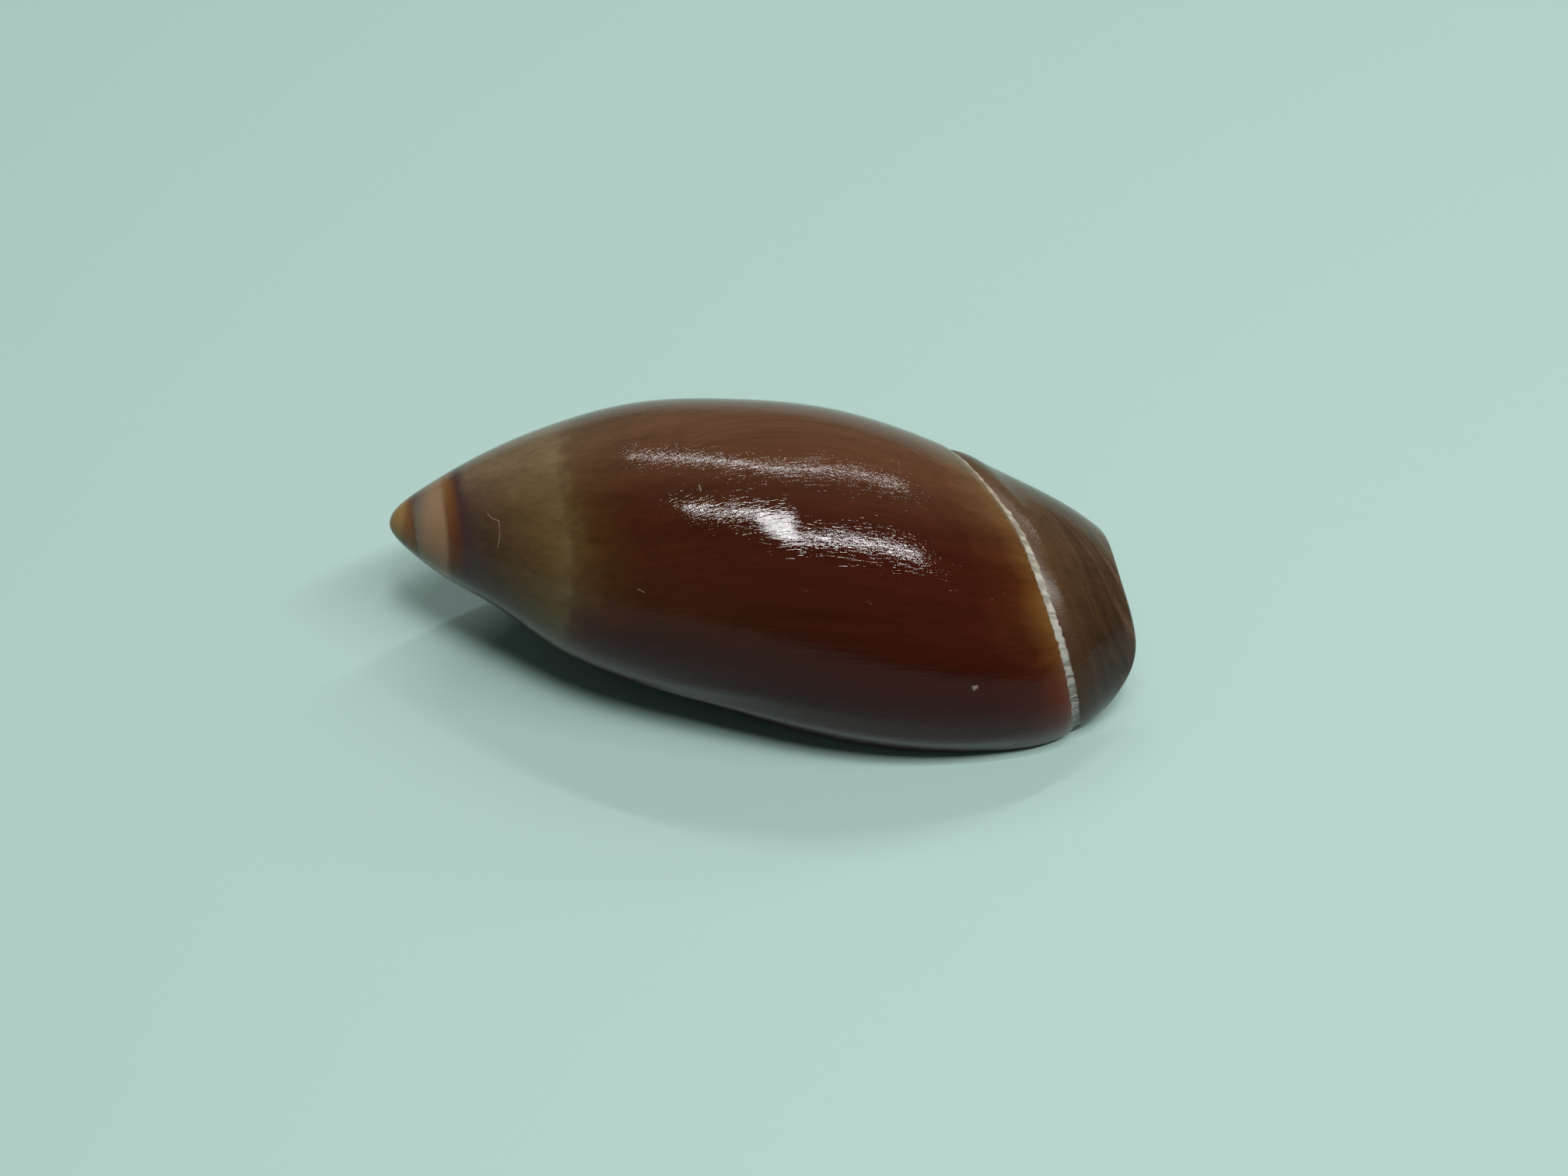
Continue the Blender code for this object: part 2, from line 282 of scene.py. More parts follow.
def hollow_columns(lip, opening, depth):
    """Inside of the wall, the closed end of the hollow, then the parietal wall and the columella."""
    cap = lip + (HOLLOW_END - lip) * depth
    zero = row_station(share, np.zeros_like(share))
    along = np.linspace(0, 1, WALL_COLUMNS + 1)[None, :]
    angle = lip + (cap - lip) * along
    station = row_station(share, angle)
    full = outer_radius(station, angle)
    thick = LIP_WALL + (WALL - LIP_WALL) * smooth_step((lip - angle) / WALL_RAMP)
    radius = full - np.minimum(thick, MOST_OF_GAP * full * (1 - np.exp(-growth(station))))
    radius += relief(station, angle, lip) * smooth_step(1 - (lip - angle) / RELIEF_INSIDE)
    inner = np.stack([station, angle, radius], axis=-1)

    along = np.linspace(0, 1, CORE - CAP + 1)[None, :-1]
    station = row_station(share, cap) + (zero - row_station(share, cap)) * along
    angle = (cap - TURN) * (1 - along)
    pillar = np.stack([station, angle + TURN, outer_radius(station, angle)], axis=-1)

    across = (np.arange(1, CAP) / CAP)[None, :]
    bridge = inner[:, -1:] + (pillar[:, :1] - inner[:, -1:]) * across[..., None]
    bridge[..., 1] -= SKIN_STEP * np.sin(np.pi * across) * depth
    hollow = np.concatenate([inner, bridge, pillar], axis=1)

    skin = lip + SKIN_STEP + (TURN - lip - SKIN_STEP) * np.linspace(0, 1, HALF + 1)[None, :-1]
    start = row_station(share, lip)
    station = start + (zero - start) * (skin - lip) / (TURN - lip)
    sunk = np.exp(-growth(station) * smooth_step((skin - lip) / FALL))
    skin = np.stack([station, skin, outer_radius(station, skin) * sunk], axis=-1)
    return skin + (hollow[:, :HALF] - skin) * opening[..., None]


lip = lip_of(share)
middle = share * MARGIN_STATIONS[5]
opening = smooth_step((middle - APERTURE_START) / APERTURE_RAMP)
depth = smooth_step((middle - APERTURE_START) / HOLLOW_RAMP + 0.08)
outside = outside_columns(lip)
edge = edge_columns(lip, opening)
hollow = hollow_columns(lip, opening, depth)
print("columns outside, on the edge, inside:", outside.shape[1], edge.shape[1], hollow.shape[1])

# %% [markdown]
# ## From addresses to space
# Station, angle and radius become a point: so far along the axis, and the radius away from it in the
# direction of the angle. Near the siphonal margin the inside closes up to a thin edge, so there the inner
# columns ease over to a sheet just under the outside, thicker at the tip of the columella.

# %% Points of the grid
def to_space(points):
    """Station times the axis, plus radius times (cosine of down plus sine of back)."""
    flat = np.cos(AXIS_PITCH)
    axis = np.array([flat * np.cos(AXIS_YAW), flat * np.sin(AXIS_YAW), -np.sin(AXIS_PITCH)])
    down = np.array([0, 0, -1.0]) + axis * axis[2]
    down /= np.linalg.norm(down)
    back = np.cross(axis, down)
    back *= np.sign(back[1])
    station, angle, radius = (points[..., i, None] for i in range(3))
    return station * axis + radius * (np.cos(angle) * down + np.sin(angle) * back)


def thin_sheet(outside):
    """The outside in reverse order, moved in by the margin's thickness plus a bell at the columella's tip."""
    sheet = outside[:, ::-1].copy()
    tip = (sheet[..., 1] - TIP_ANGLE) / TIP_HALF_ANGLE
    rounded = np.sqrt(1 - (1 - np.clip(sheet[..., 1] / TIP_ROUND, 0, 1)) ** 2)
    sheet[..., 2] -= (MARGIN_WALL + (TIP_WALL - MARGIN_WALL) * np.exp(-tip * tip)) * rounded
    return sheet


taper = smooth_step((share - COLUMELLA_TAPER) / (1 - COLUMELLA_TAPER))
inside = to_space(hollow)
inside += (to_space(thin_sheet(outside))[:, :HALF] - inside) * taper[..., None]
rows = np.concatenate([to_space(outside), to_space(edge), inside], axis=1)
print("grid of points:", rows.shape)

# %% [markdown]
# ## Closing the siphonal margin
# The last row runs round both sides of a thin edge. Half a circle of strips bridges its two sides, and
# meets the rounded edge of the lip with the same number of steps, so no gap or sharp seam is left.

# %% Rounded margin
def margin_strips(rows):
    """Middle of the two sides, plus half their distance times (cosine across plus sine ahead)."""
    last = rows[-1]
    facing = last[1 : HALF + 1]
    opposite = last[::-1][:HALF]
    across = (facing - opposite) / 2
    ahead = facing - rows[-2, 1 : HALF + 1]
    ahead /= np.linalg.norm(ahead, axis=1, keepdims=True)
    reach = np.linalg.norm(across, axis=1, keepdims=True)
    arc = (np.arange(1, EDGE + 1) / (EDGE + 1) * np.pi)[:, None, None]
    return (facing + opposite) / 2 + np.cos(arc) * across + np.sin(arc) * reach * ahead


strips = margin_strips(rows)
print("margin strips:", strips.shape)

# %% [markdown]
# ## The worn flat spots
# The shell touches its support with the belly of the last whorl and with the edge of the lip. Both spots
# are flattened, which is the same as cutting the shape off at the level of the support.

# %% Vertices in their place
height, around = rows.shape[:2]
points = np.concatenate([rows.reshape(-1, 3), np.zeros((1, 3)), strips.reshape(-1, 3)]) + APEX
points[:, 2] = np.maximum(points[:, 2], 0)
print(len(points), "vertices, lowest corner", points.min(axis=0) / MM, "highest", points.max(axis=0) / MM)

# %% [markdown]
# ## Faces
# Four neighbours in the grid make a face. A fan closes the apex. The strips of the margin join the
# outside's columns to the columns inside, and their two ends are fans onto the columella's tip and the
# lip's corner.

# %% Faces, all pointing outwards
def faces_of(height, around):
    """Index arithmetic on the grid: each face lists a point, its neighbour, and the two in the next row."""
    index = np.arange(height * around).reshape(height, around)
    follow = np.roll(index, -1, axis=1)
    body = np.stack([index[:-1], follow[:-1], follow[1:], index[1:]], axis=-1).reshape(-1, 4)
    apex = height * around
    fan = np.stack([np.full(around, apex), follow[0], index[0]], axis=-1)
    last = index[-1]
    added = apex + 1 + np.arange(EDGE * HALF).reshape(EDGE, HALF)
    strip = np.concatenate([last[None, 1 : HALF + 1], added, last[None, ::-1][:, :HALF]])
    corners = [strip[:-1, :-1], strip[:-1, 1:], strip[1:, 1:], strip[1:, :-1]]
    margin = np.stack(corners, axis=-1).reshape(-1, 4)
    tip = np.stack([np.full(EDGE + 1, last[0]), strip[:-1, 0], strip[1:, 0]], axis=-1)
    lip_row = last[HALF : HALF + EDGE + 2]
    corner = np.stack([strip[:-1, -1], lip_row[:-1], lip_row[1:], strip[1:, -1]], axis=-1)
    return body, fan, margin, tip, corner[1:-1], corner[[0], 1:], corner[[-1], :3]


faces = [face for group in faces_of(height, around) for face in group.tolist()]
print(len(faces), "faces")

# %% [markdown]
# ## Where the colours change
# The bands of the spire are one winding pattern: pale, then orange, then a dark line, over and over, once a
# turn. The dark line is a spiral, so its station is given against the angle unwound over several turns.
# Lower down, khaki glaze gives way to the brown body, and past the groove comes the siphonal band. Each of
# these borders is a curve on the shell, and what a material needs is how far a point lies from it.
# Underneath, the khaki reaches further along the shell and its edge is softer.

# %% Spiral line and borders
LINE_ANGLES = np.array(
    [-720, -360, -172, 0, 100, 188, 218, 239, 360, 450, 529, 556, 575, 595, 617, 651, 720, 1080]
) * DEG
LINE_STATIONS = np.array(
    [0.0, 0.16, 0.30, 0.62, 0.86, 1.10, 1.30, 1.43, 2.10, 2.62, 3.17, 3.53, 3.85, 4.10, 4.20, 4.27, 4.60, 6.5]
) * MM
LINE_END = 640 * DEG
LINE_FADE = 75 * DEG
LINE_WIDTH = 0.24 * MM
LAST_LINE_WIDTH = 0.30 * MM
LAST_LINE_START = 2.6 * MM
KHAKI_ANGLES = np.array([0, 60, 120, 188, 209, 222, 251, 283, 320, 360]) * DEG
KHAKI_STATIONS = np.array([13.6, 11.2, 9.2, 8.39, 8.95, 9.40, 9.71, 9.88, 11.2, 13.6]) * MM
LIP_EDGE_WIDTH = 0.30 * MM
BLOTCH_STATION = 7.2 * MM
BLOTCH_LENGTH = 2.3 * MM
BLOTCH_ANGLE = 325 * DEG
BLOTCH_SPREAD = 17 * DEG


def spire_pattern(station, angle):
    """Between one turn of the spiral line and the next, the share of the way: pale up to a step, orange past
    it, and dark in two bells at the ends. All fade where the line ends under the glaze."""
    turns = np.arange(-1, 4)
    lines = np.stack([np.interp(angle + TURN * k, LINE_ANGLES, LINE_STATIONS) for k in turns])
    k = np.clip((station >= lines).sum(axis=0) - 1, 0, len(turns) - 2)
    low = np.take_along_axis(lines, k[None], 0)[0]
    high = np.take_along_axis(lines, k[None] + 1, 0)[0]
    upper = angle + TURN * (turns[0] + k + 1)
    share = (station - low) / (high - low)
    fade = 1 - smooth_step((upper - LINE_END) / LINE_FADE)
    fade_low = 1 - smooth_step((upper - TURN - LINE_END) / LINE_FADE)
    step = 0.15 + 0.44 * smooth_step((high / MM - 1.3) / 1.2)
    orange = smooth_step((share - step) / 0.16)
    pale = fade * (1 - orange)
    dark = fade * np.exp(-(((high - station) / LINE_WIDTH) ** 2))
    dark = dark * (0.45 + 0.55 * smooth_step((station / MM - 1.4) / 1.5))
    lower_side = np.exp(-(((station - low) / LAST_LINE_WIDTH) ** 2)) * (station > LAST_LINE_START)
    dark = dark + fade_low * 0.85 * lower_side
    return np.stack([pale, fade * orange, np.clip(dark, 0, 1)], axis=-1)


sample = spire_pattern(np.array([1.8, 3.1, 3.6]) * MM, np.array([200, 200, 200]) * DEG)
print("pale, orange and dark at three stations:", sample.round(2).tolist())

# %% [markdown]
# ## Fields on the mesh
# Six sets of numbers are stored on every vertex. One is the address written as a point of a straightened
# shell, so that grain can run along the growth lines without a seam. The others are the spire's pattern,
# the distances from the borders, how far inside the aperture a point lies, its place on the siphonal band,
# and how much it belongs to the back, whose lighter colour is painted light, to the front, whose darker
# colour is painted shade, and to an orange-brown blotch below the spire.

# %% Addresses and fields
def addresses():
    """Station and angle of every vertex, in the mesh's order, and how much it belongs to the inside of the
    wall, to the turn before and to the edge of the lip. The last is a bell across the lip's thickness."""
    sheet = thin_sheet(outside)[:, :HALF]
    lining = hollow + (sheet - hollow) * taper[..., None]
    grid = np.concatenate([outside, edge, lining], axis=1)[..., :2]
    arc = np.arange(1, EDGE + 1) / (EDGE + 1)
    before = np.zeros(HALF)
    before[WALL_COLUMNS + 1 : WALL_COLUMNS + CAP] = np.arange(1, CAP) / CAP
    before[WALL_COLUMNS + CAP :] = 1
    inner = np.concatenate([np.zeros(HALF + 1), arc, np.ones(HALF)]) * opening
    turn_before = np.concatenate([np.zeros(HALF + 1 + EDGE), before]) * opening * (1 - taper)
    from_lip = outside[..., 2] * (lip - outside[..., 1])
    near = np.clip(1 - from_lip / LIP_EDGE_WIDTH, 0, 1)
    bell = np.repeat(np.sin(np.pi * arc)[None, :] ** 0.5, len(share), 0)
    bell = np.concatenate([near, bell, np.zeros((len(share), HALF))], axis=1)
    bell *= smooth_step((middle - APERTURE_START - 0.5 * APERTURE_RAMP) / APERTURE_RAMP)
    grid = np.concatenate([grid, inner[..., None], turn_before[..., None], bell[..., None]], axis=-1)
    last = grid[-1]
    across = (np.arange(1, EDGE + 1) / (EDGE + 1))[:, None, None]
    rim = last[1 : HALF + 1] * (1 - across) + last[::-1][:HALF] * across
    return np.concatenate([grid.reshape(-1, 5), np.zeros((1, 5)), rim.reshape(-1, 5)])


def fields(station, angle, inner, turn_before, bell):
    """The sets of numbers, in millimetres and shares. Most are smooth steps of an angle or a station, the
    borders are differences of stations, and the blotch is a bell in both directions."""
    lip_angle = spline(station, LIP_STATIONS, LIP_ANGLES)
    own = angle - TURN * np.round(turn_before)
    radius = outer_radius(station, own)
    along_lip = angle - lip_angle
    address = np.stack([station, radius * np.cos(along_lip), radius * np.sin(along_lip)], axis=-1) / MM
    khaki = spline(angle, KHAKI_ANGLES, KHAKI_STATIONS)
    groove = groove_station(own)
    margin = spline(np.clip(own, 0, None), MARGIN_ANGLES, MARGIN_STATIONS)
    sharpness = 1 - 0.6 * smooth_step((np.abs(own - 180 * DEG) - 115 * DEG) / (45 * DEG))
    past_khaki = (station - khaki) * sharpness
    borders = np.stack([past_khaki, station - groove, (groove - khaki) * sharpness], axis=-1) / MM
    share = np.clip((station - groove) / (margin - groove), 0, 1)
    pillar = turn_before * smooth_step(-own / (55 * DEG))
    # Weights for painted light on the back and top, and for painted shade in front.
    back = smooth_step((212 * DEG - own) / (54 * DEG)) * smooth_step((own - 20 * DEG) / (60 * DEG))
    shaded_front = smooth_step((own - 236 * DEG) / (30 * DEG))
    shaded_front *= smooth_step((lip_angle + 60 * DEG - own) / (60 * DEG))
    blotch = ((station - BLOTCH_STATION) / BLOTCH_LENGTH) ** 2 + ((own - BLOTCH_ANGLE) / BLOTCH_SPREAD) ** 2
    return {
        "address": address,
        "spire": spire_pattern(station, angle),
        "borders": borders,
        "lining": np.stack([inner * (1 - turn_before), pillar, bell], axis=-1),
        "band": np.stack([share, smooth_step((own - FADE_ANGLE) / FADE_SPREAD), own / TURN], axis=-1),
        "painted_light_and_blotch": np.stack([back, shaded_front, np.exp(-blotch)], axis=-1),
    }


places = addresses()
stored = fields(*places.T)
print({name: values.shape for name, values in stored.items()})

# %% [markdown]
# ## The mesh
# The arrays go into the mesh as they are. Every face is smooth, because a glazed shell has no hard edge.

# %% The shell as an object
mesh = bpy.data.meshes.new("shell")
mesh.from_pydata(points.tolist(), [], faces)
mesh.shade_smooth()
for name, values in stored.items():
    layer = mesh.attributes.new(name, "FLOAT_VECTOR", "POINT")
    layer.data.foreach_set("vector", values.astype(np.float32).ravel())
shell = bpy.data.objects.new("glazed_shell", mesh)
bpy.context.scene.collection.objects.link(shell)
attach(shell, "root")
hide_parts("shell")
loops = np.zeros(len(mesh.loops), dtype=np.int32)
mesh.loops.foreach_get("edge_index", loops)
print(len(mesh.polygons), "faces, closed:", bool((np.bincount(loops) == 2).all()))

# %% [markdown]
# ## Building materials from nodes
# A node tree is easier to read as formulas. These helpers add one node and return its output, so that a
# line of code is a line of arithmetic on the surface.

# %% Node helpers
def node(tree, kind, inputs=(), **settings):
    """A node with its settings, whose inputs are values or other nodes' outputs."""
    made = tree.nodes.new("ShaderNode" + kind)
    for name, value in settings.items():
        setattr(made, name, value)
    for socket, value in dict(inputs).items():
        if isinstance(value, bpy.types.NodeSocket):
            tree.links.new(value, made.inputs[socket])
        else:
            made.inputs[socket].default_value = value
    return made


def calc(tree, operation, *values):
    """One step of arithmetic."""
    return node(tree, "Math", dict(enumerate(values)), operation=operation).outputs[0]


def step(tree, value, low, high):
    """Smooth step of a value from low to high."""
    inputs = {"Value": value, "From Min": low, "From Max": high}
    return node(tree, "MapRange", inputs, interpolation_type="SMOOTHSTEP").outputs[0]


def mix(tree, factor, first, second, blend="MIX"):
    """Colour between two colours."""
    made = node(tree, "Mix", {0: factor, 6: first, 7: second}, data_type="RGBA", blend_type=blend)
    return made.outputs[2]


def ramp(tree, factor, stops):
    """Colour from a list of positions and colours."""
    made = node(tree, "ValToRGB", {0: factor})
    elements = made.color_ramp.elements
    for i, (position, colour) in enumerate(stops):
        element = elements[i] if i < 2 else elements.new(position)
        element.position = position
        element.color = (*colour, 1)
    return made.outputs[0]


def noise(tree, vector, stretch, scale, detail=3.0, rough=0.5):
    """Noise on a stretched vector, from 0 to 1."""
    stretched = node(tree, "VectorMath", {0: vector, 1: stretch}, operation="MULTIPLY").outputs[0]
    inputs = {"Vector": stretched, "Scale": scale, "Detail": detail, "Roughness": rough}
    return node(tree, "TexNoise", inputs).outputs[0]


def group(name, sockets):
    """An empty node group with named inputs and outputs, as (name, direction, type)."""
    tree = bpy.data.node_groups.new(name, "ShaderNodeTree")
    for socket, direction, kind in sockets:
        tree.interface.new_socket(name=socket, in_out=direction, socket_type="NodeSocket" + kind)
    return tree, tree.nodes.new("NodeGroupInput"), tree.nodes.new("NodeGroupOutput")


print("helpers ready")

# %% [markdown]
# ## Growth lines and fine scratches
# A shell is laid down at the lip, a little each day, so every line on it is an old lip. On this one they
# are faint streaks of colour and almost no relief. Wear in sand has added hair-fine scratches, most of them
# along the shell, which is why its highlights break up into short bright lines. Both are noise on the
# straightened address, stretched along the shell.

# %% Group: growth lines
tree, source, result = group("growth lines", [
    ("Address", "INPUT", "Vector"), ("Streaks", "OUTPUT", "Float"), ("Height", "OUTPUT", "Float"),
])
wide = noise(tree, source.outputs[0], (0.035, 1, 1), 0.9, 2.0)
fine = noise(tree, source.outputs[0], (0.03, 1, 1), 4.0, 4.0, 0.6)
streaks = calc(tree, "ADD", calc(tree, "MULTIPLY", wide, 0.5), calc(tree, "MULTIPLY", fine, 0.5))
tree.links.new(streaks, result.inputs[0])
tree.links.new(fine, result.inputs[1])
growth_lines = tree
print(tree.name, "has", len(tree.nodes), "nodes")

# %% Group: fine scratches
tree, source, result = group("fine scratches", [
    ("Address", "INPUT", "Vector"), ("Height", "OUTPUT", "Float"),
])
grain = noise(tree, source.outputs[0], (0.14, 1, 1), 13.0, 2.0, 0.7)
total = calc(tree, "MULTIPLY", grain, 0.40)
for turn, weight in ((0.03, 0.45), (0.2, 0.25), (-0.25, 0.25)):
    tilted = node(tree, "VectorRotate", {0: source.outputs[0], 3: turn}, rotation_type="Z_AXIS").outputs[0]
    crossing = noise(tree, tilted, (0.08, 1, 1), 9.0, 1.0)
    total = calc(tree, "ADD", total, calc(tree, "MULTIPLY", step(tree, crossing, 0.56, 0.68), weight))
tree.links.new(total, result.inputs[0])
fine_scratches = tree
print(tree.name, "has", len(tree.nodes), "nodes")

# %% [markdown]
# ## Single scratches and a chip
# A few longer scratches and one small chip stand out on the glaze. Each is a thin straight piece: the mask
# is one where a point's distance from the line between two ends is less than half the width.

# %% Group: one scratch
tree, source, result = group("one scratch", [
    ("Point", "INPUT", "Vector"), ("Start", "INPUT", "Vector"), ("End", "INPUT", "Vector"),
    ("Width", "INPUT", "Float"), ("Mask", "OUTPUT", "Float"),
])
point, start, end, width = source.outputs[:4]
whole = node(tree, "VectorMath", {0: end, 1: start}, operation="SUBTRACT").outputs[0]
reach = node(tree, "VectorMath", {0: point, 1: start}, operation="SUBTRACT").outputs[0]
covered = node(tree, "VectorMath", {0: reach, 1: whole}, operation="DOT_PRODUCT").outputs["Value"]
square = node(tree, "VectorMath", {0: whole, 1: whole}, operation="DOT_PRODUCT").outputs["Value"]
part = node(tree, "Math", {0: covered, 1: square}, operation="DIVIDE", use_clamp=True).outputs[0]
nearest = node(tree, "VectorMath", {0: whole, "Scale": part}, operation="SCALE").outputs[0]
offset = node(tree, "VectorMath", {0: reach, 1: nearest}, operation="SUBTRACT").outputs[0]
distance = node(tree, "VectorMath", {0: offset}, operation="LENGTH").outputs["Value"]
near = step(tree, calc(tree, "DIVIDE", distance, width), 0.25, 0.6)
tree.links.new(calc(tree, "SUBTRACT", 1.0, near), result.inputs[0])
one_scratch = tree

SCRATCHES = [
    ((-13.73, -1.19, 10.80), (-13.51, -1.45, 10.76), 0.05),
    ((-13.51, -1.45, 10.76), (-13.10, -1.70, 10.83), 0.05),
    ((-13.10, -1.70, 10.83), (-13.04, -2.31, 10.36), 0.05),
    ((-13.04, -2.31, 10.36), (-13.15, -2.61, 9.93), 0.05),
    ((-3.20, -1.53, 13.72), (-3.12, -1.81, 13.64), 0.08),
    ((2.13, -5.81, 11.10), (2.44, -5.94, 10.92), 0.05),
    ((5.05, -5.88, 10.56), (5.36, -5.98, 10.39), 0.05),
    ((6.58, 1.61, 12.40), (6.61, 0.87, 12.47), 0.05),
    ((-9.55, -4.77, 9.44), (-9.35, -4.95, 9.24), 0.05),
    ((-6.05, -5.44, 10.40), (-5.70, -5.59, 10.31), 0.05),
    ((6.97, -5.82, 10.03), (7.24, -5.79, 9.96), 0.05),
]
CHIP = ((10.57, -7.51, 6.12), (10.68, -7.52, 6.06), 0.27)
print(len(SCRATCHES), "scratches")

# %% [markdown]
# ## The shell's colours
# The colours lie in the lime under a clear glaze. The body is a deep red brown and turns amber in front of
# the groove. Its lighter, duller colour towards the back and top is painted light, and its darker front is
# painted shade. Over it come, one after the other, the khaki glaze, the spire's pattern, the siphonal band
# with its curved dark growth lines, the whitish beaded groove, and the colours inside the aperture.

# %% Colours, as linear red, green and blue
BODY = [
    (0.00, (0.046, 0.025, 0.008)), (0.05, (0.033, 0.012, 0.0030)), (0.14, (0.026, 0.0062, 0.0018)),
    (0.50, (0.024, 0.0040, 0.0014)), (0.83, (0.025, 0.0036, 0.0012)), (0.92, (0.036, 0.0080, 0.0020)),
    (0.96, (0.064, 0.023, 0.0050)), (1.00, (0.092, 0.045, 0.012)),
]
# Painted light: the body's lighter colours for the back and top, where light falls.
BODY_PAINTED_LIGHT = [
    (0.00, (0.068, 0.040, 0.020)), (0.12, (0.066, 0.032, 0.016)), (0.85, (0.066, 0.027, 0.012)),
    (1.00, (0.088, 0.048, 0.018)),
]
BAND = [
    (0.00, (0.056, 0.029, 0.013)), (0.20, (0.046, 0.023, 0.010)), (0.60, (0.033, 0.0165, 0.0075)),
    (0.85, (0.034, 0.018, 0.009)), (1.00, (0.060, 0.036, 0.020)),
]
# Painted shade: a darkening of the body's front.
FRONT_SHADE = (0.80, 0.30, 0.22, 1)
# Painted light on the band's back, and painted shade on its front.
BAND_PAINTED_LIGHT = (0.062, 0.036, 0.018, 1)
BAND_FRONT_SHADE = (0.74, 0.74, 0.80, 1)
KHAKI = [
    (0.00, (0.036, 0.021, 0.014)), (0.35, (0.044, 0.026, 0.011)), (0.75, (0.060, 0.037, 0.013)),
    (0.93, (0.070, 0.047, 0.020)), (1.00, (0.056, 0.034, 0.013)),
]
# Painted light: the khaki's lighter colour on the back.
KHAKI_PAINTED_LIGHT = (0.110, 0.076, 0.042, 1)
TIP = (0.172, 0.106, 0.037, 1)
PALE = [
    (0.00, (0.060, 0.048, 0.040)), (0.22, (0.100, 0.078, 0.056)), (0.55, (0.158, 0.100, 0.060)),
    (1.00, (0.168, 0.100, 0.054)),
]
ORANGE = [(0.00, (0.120, 0.058, 0.020)), (0.35, (0.090, 0.036, 0.011)), (1.00, (0.060, 0.020, 0.008))]
DARK = (0.030, 0.015, 0.016, 1)
GROOVE = [
    (0.00, (0.255, 0.205, 0.140)), (0.35, (0.265, 0.250, 0.205)), (0.60, (0.250, 0.240, 0.210)),
    (0.80, (0.200, 0.202, 0.180)), (1.00, (0.145, 0.148, 0.130)),
]
GROOVE_LINE = (0.090, 0.076, 0.058, 1)
LIP_EDGE = (0.070, 0.038, 0.022, 1)
LINING = (0.036, 0.0055, 0.0030, 1)
# Darker where the aperture begins, which is painted shade deep in the aperture, and khaki near the siphonal
# end, its own colour.
COLUMELLA_WITH_PAINTED_SHADE = [
    (0.00, (0.019, 0.010, 0.005)), (0.60, (0.020, 0.011, 0.006)), (0.82, (0.034, 0.024, 0.013)),
    (1.00, (0.075, 0.056, 0.030)),
]
BLOTCH = (0.078, 0.028, 0.007, 1)
SCRATCH = (0.17, 0.14, 0.11, 1)
print(len(BODY), "stops along the body")

# %% Material of the shell
paint = bpy.data.materials.new("glazed shell")
paint.use_nodes = True
tree = paint.node_tree
surface = tree.nodes["Principled BSDF"]


def field(name):
    """The stored vector under a name, and its three numbers."""
    vector = node(tree, "Attribute", attribute_name=name, attribute_type="GEOMETRY").outputs["Vector"]
    return vector, node(tree, "SeparateXYZ", {0: vector}).outputs


address, (station, _, _) = field("address")
_, (pale, orange, dark) = field("spire")
_, (past_khaki, past_groove, body_length) = field("borders")
_, (inner, pillar, rim) = field("lining")
_, (band_share, groove_fade, turn) = field("band")
# Weights for painted light on the back and painted shade in front, and the blotch.
_, (back, shaded_front, blotch) = field("painted_light_and_blotch")
lines = node(tree, "Group", {0: address}, node_tree=growth_lines)
hairs = node(tree, "Group", {0: address}, node_tree=fine_scratches)
cloud = noise(tree, address, (0.5, 1, 1), 0.35, 2.0)
mottle = noise(tree, address, (1, 1, 1), 0.9, 4.0, 0.62)
print("fields and noises ready")

# %% [markdown]
# ## Body, khaki glaze and siphonal band
# Each zone has a colour ramp along the shell, and a second, lighter one for the back, which is painted
# light. The body and the siphonal band are darkened in front, which is painted shade. A border is the
# distance from its curve plus a little noise, eased into a share, so that it wanders and blurs as the real
# one does. On the siphonal band the growth lines run along its curved margin, so there the noise is
# stretched along the angle.

# %% Zones of colour
def varied(value, amount):
    """A 0-to-1 noise as a number from minus to plus the amount."""
    return calc(tree, "MULTIPLY_ADD", value, 2 * amount, -amount)


along_body = calc(tree, "DIVIDE", past_khaki, body_length)
along_body = calc(tree, "ADD", along_body, varied(cloud, 0.05))
along_body = calc(tree, "MINIMUM", along_body, calc(tree, "MULTIPLY_ADD", groove_fade, 0.3, 0.8))
# Painted light on the back and top, and painted shade in front.
body = mix(tree, back, ramp(tree, along_body, BODY), ramp(tree, along_body, BODY_PAINTED_LIGHT))
body = mix(tree, shaded_front, body, mix(tree, 1.0, body, FRONT_SHADE, "MULTIPLY"))

khaki_share = calc(tree, "MULTIPLY_ADD", past_khaki, 0.21, 1.0)
# Painted light: lighter khaki on the back.
khaki = mix(tree, calc(tree, "MULTIPLY", back, 0.85), ramp(tree, khaki_share, KHAKI), KHAKI_PAINTED_LIGHT)
khaki = mix(tree, blotch, khaki, BLOTCH)
border = calc(tree, "ADD", past_khaki, varied(mottle, 1.6))
border = calc(tree, "ADD", border, varied(lines.outputs["Streaks"], 0.5))
colour = mix(tree, step(tree, border, -0.85, 0.65), khaki, body)

across = node(tree, "CombineXYZ", {0: past_groove, 1: calc(tree, "MULTIPLY", turn, 9.0), 2: band_share})
rings = noise(tree, across.outputs[0], (1, 0.10, 1), 2.6, 4.0, 0.65)
band_position = calc(tree, "ADD", band_share, varied(rings, 0.10))
# Painted light: a lighter band on the back.
band = mix(tree, calc(tree, "MULTIPLY", back, 0.5), ramp(tree, band_position, BAND), BAND_PAINTED_LIGHT)
ring_strength = step(tree, band_share, 0.05, 0.6)
ring_shade = calc(tree, "MULTIPLY_ADD", step(tree, rings, 0.34, 0.66), 0.5, -0.34)
ring_shade = calc(tree, "MULTIPLY_ADD", ring_strength, ring_shade, 1.0)
band = mix(tree, 1.0, band, ring_shade, "MULTIPLY")
